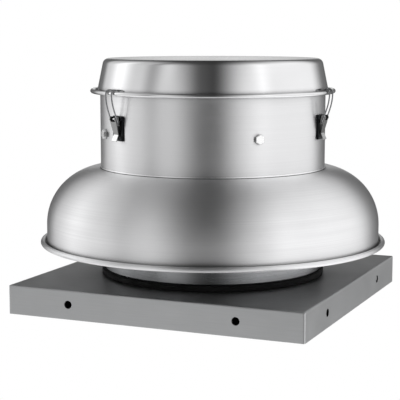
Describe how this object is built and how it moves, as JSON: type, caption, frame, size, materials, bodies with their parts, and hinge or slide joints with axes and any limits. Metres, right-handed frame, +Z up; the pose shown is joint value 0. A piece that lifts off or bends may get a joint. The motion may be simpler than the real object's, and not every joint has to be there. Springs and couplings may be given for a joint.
{
  "type": "roof exhaust fan",
  "caption": "Downblast roof exhaust fan on a square curb cap, with a spun windband, a drum motor housing and a lift-off cap held by wire latches.",
  "frame": {"origin": "bottom centre of the square curb cap, on the fan's axis", "axes": "+Z up along the fan's axis, -Y out of the curb cap's front face, +X to its right"},
  "size_m": [0.5568, 0.5568, 0.3895],
  "materials": {
    "curb_cap_metal": "satin folded sheet",
    "gasket_rubber": "matt black",
    "collar_aluminium": "brushed",
    "spun_aluminium": "satin, with fine spinning lines",
    "housing_aluminium": "fine satin",
    "cap_aluminium": "bright satin",
    "bright_screw": "bright plated",
    "bail_wire": "bright wire",
    "lever_steel": "satin stainless",
    "latch_base_steel": "dark plated",
    "zinc_steel": "zinc plated",
    "motor_paint": "satin enamel",
    "core_steel": "stacked sheets",
    "copper_winding": "varnished copper",
    "ground_steel": "ground",
    "wheel_aluminium": "mill finish",
    "capacitor_can": "drawn can",
    "switch_box_paint": "grey enamel",
    "toggle_plastic": "red moulded",
    "cable_jacket": "black",
    "gland_nylon": "black moulded"
  },
  "bodies": {
    "fan_frame": {"curb_cap": "curb_cap_metal", "base_gasket": "gasket_rubber", "curb_seal": "gasket_rubber", "cap_seal": "gasket_rubber", "motor_isolators": "gasket_rubber", "inlet_collar": "collar_aluminium", "inlet_cone": "collar_aluminium", "windband": "spun_aluminium", "neck_ring": "spun_aluminium", "motor_housing": "housing_aluminium", "housing_screws": "bright_screw", "latch_pins": "bright_screw", "latch_base_1": "latch_base_steel", "latch_base_2": "latch_base_steel", "latch_base_3": "latch_base_steel", "latch_rivets": "latch_base_steel", "collar_screws": "zinc_steel", "cone_rivets": "zinc_steel", "support_posts": "zinc_steel", "lower_post_bolts": "zinc_steel", "upper_post_bolts": "zinc_steel", "motor_plate": "zinc_steel", "housing_brackets": "zinc_steel", "housing_nuts": "zinc_steel", "conduit_tube": "zinc_steel", "conduit_locknuts": "zinc_steel", "motor_mount_bolts": "zinc_steel", "motor_tie_bolts": "zinc_steel", "capacitor_strap": "zinc_steel", "motor_shell": "motor_paint", "lower_end_bell": "motor_paint", "upper_end_bell": "motor_paint", "terminal_box": "motor_paint", "terminal_lid": "motor_paint", "stator_core": "core_steel", "stator_windings": "copper_winding", "motor_bearings": "ground_steel", "run_capacitor": "capacitor_can", "disconnect_box": "switch_box_paint", "disconnect_cover": "switch_box_paint", "motor_cable": "cable_jacket", "cable_glands": "gland_nylon"},
    "impeller": {"motor_shaft": "ground_steel", "shaft_circlips": "zinc_steel", "rotor_core": "core_steel", "wheel_hub": "wheel_aluminium", "wheel_back_plate": "wheel_aluminium", "wheel_blades": "wheel_aluminium", "wheel_shroud": "wheel_aluminium", "wheel_rivets": "zinc_steel", "shaft_key": "ground_steel", "hub_set_screw": "ground_steel"},
    "cap": {"top_cap": "cap_aluminium"},
    "toggle": {"disconnect_toggle": "toggle_plastic"},
    "lever_1": {"latch_lever_1": "lever_steel"},
    "bail_1": {"latch_bail_1": "bail_wire"},
    "lever_2": {"latch_lever_2": "lever_steel"},
    "bail_2": {"latch_bail_2": "bail_wire"},
    "lever_3": {"latch_lever_3": "lever_steel"},
    "bail_3": {"latch_bail_3": "bail_wire"}
  },
  "joints": [
    {"name": "impeller_spin", "type": "hinge", "parent": "fan_frame", "child": "impeller", "pos_m": [0, 0, 0.18], "axis": [0, 0, 1], "continuous": true},
    {"name": "cap_lift", "type": "slide", "parent": "fan_frame", "child": "cap", "axis": [0, 0, 1], "range_m": [0, 0.12]},
    {"name": "toggle_tip", "type": "hinge", "parent": "fan_frame", "child": "toggle", "pos_m": [0.127, 0, 0.2805], "axis": [0, 1, 0], "range_deg": [0, 40]},
    {"name": "lever_1_swing", "type": "hinge", "parent": "fan_frame", "child": "lever_1", "pos_m": [0.1886, 0, 0.2995], "axis": [0, -1, 0], "range_deg": [0, 140]},
    {"name": "bail_1_swing", "type": "hinge", "parent": "lever_1", "child": "bail_1", "pos_m": [0.1864, 0, 0.2923], "axis": [0, -1, 0], "range_deg": [-201, 0]},
    {"name": "lever_2_swing", "type": "hinge", "parent": "fan_frame", "child": "lever_2", "pos_m": [-0.0943, 0.16333, 0.2995], "axis": [0.866, 0.5, 0], "range_deg": [0, 140]},
    {"name": "bail_2_swing", "type": "hinge", "parent": "lever_2", "child": "bail_2", "pos_m": [-0.0932, 0.16143, 0.2923], "axis": [0.866, 0.5, 0], "range_deg": [-201, 0]},
    {"name": "lever_3_swing", "type": "hinge", "parent": "fan_frame", "child": "lever_3", "pos_m": [-0.0943, -0.16333, 0.2995], "axis": [-0.866, 0.5, 0], "range_deg": [0, 140]},
    {"name": "bail_3_swing", "type": "hinge", "parent": "lever_3", "child": "bail_3", "pos_m": [-0.0932, -0.16143, 0.2923], "axis": [-0.866, 0.5, 0], "range_deg": [-201, 0]}
  ],
  "couplings": [
    {"joint": "bail_1_swing", "follows": "lever_1_swing", "ratio": -1.43},
    {"joint": "bail_2_swing", "follows": "lever_2_swing", "ratio": -1.43},
    {"joint": "bail_3_swing", "follows": "lever_3_swing", "ratio": -1.43}
  ]
}
